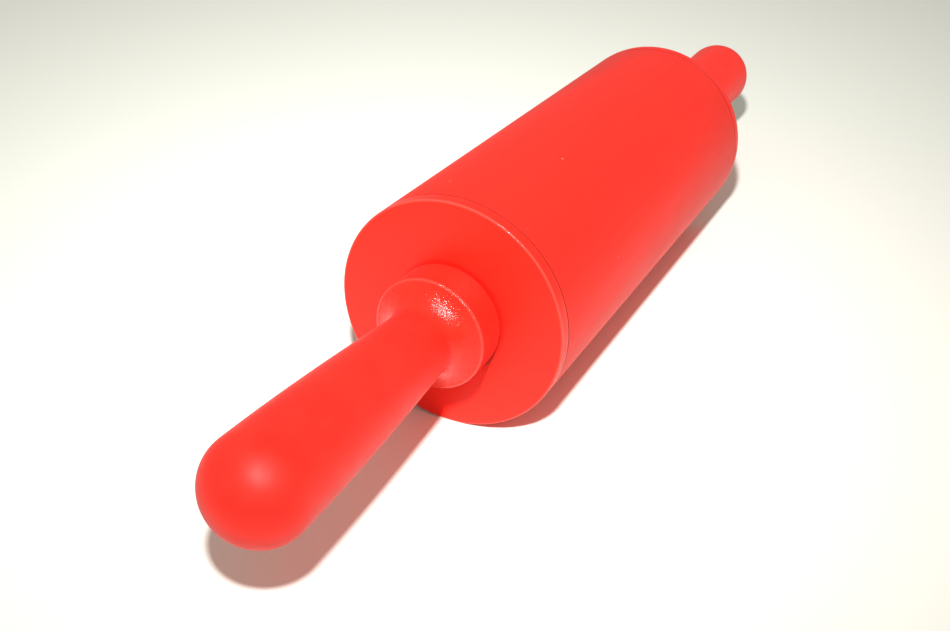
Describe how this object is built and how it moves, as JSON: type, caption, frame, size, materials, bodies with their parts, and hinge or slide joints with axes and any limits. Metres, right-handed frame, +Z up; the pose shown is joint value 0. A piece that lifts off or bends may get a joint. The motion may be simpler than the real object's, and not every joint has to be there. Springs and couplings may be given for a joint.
{
  "type": "rolling pin",
  "caption": "Small rolling pin with a silicone-skinned barrel that turns on a steel rod between two moulded handles.",
  "frame": {"origin": "middle of the barrel, on the axis it turns about", "axes": "+X along the turning axis towards the right handle, +Z up, the pin rolls along Y"},
  "size_m": [0.268, 0.0498, 0.0498],
  "materials": {
    "sleeve": "matt red silicone",
    "tube": "plain white moulding",
    "cap": "matt red moulding",
    "bush": "natural white, smooth",
    "rod": "bright drawn",
    "washer": "stamped, tumbled",
    "insert": "turned",
    "handle": "satin red, fine spark-eroded grain"
  },
  "bodies": {
    "spindle": {"axle_rod": "rod", "left_thrust_washer": "washer", "right_thrust_washer": "washer", "left_thread_insert": "insert", "right_thread_insert": "insert", "left_handle": "handle", "right_handle": "handle"},
    "roller": {"silicone_sleeve": "sleeve", "core_tube": "tube", "left_end_cap": "cap", "right_end_cap": "cap", "left_bush": "bush", "right_bush": "bush"}
  },
  "joints": [
    {"name": "roller_spin", "type": "hinge", "parent": "spindle", "child": "roller", "pos_m": [0, 0, 0], "axis": [1, 0, 0], "continuous": true}
  ]
}
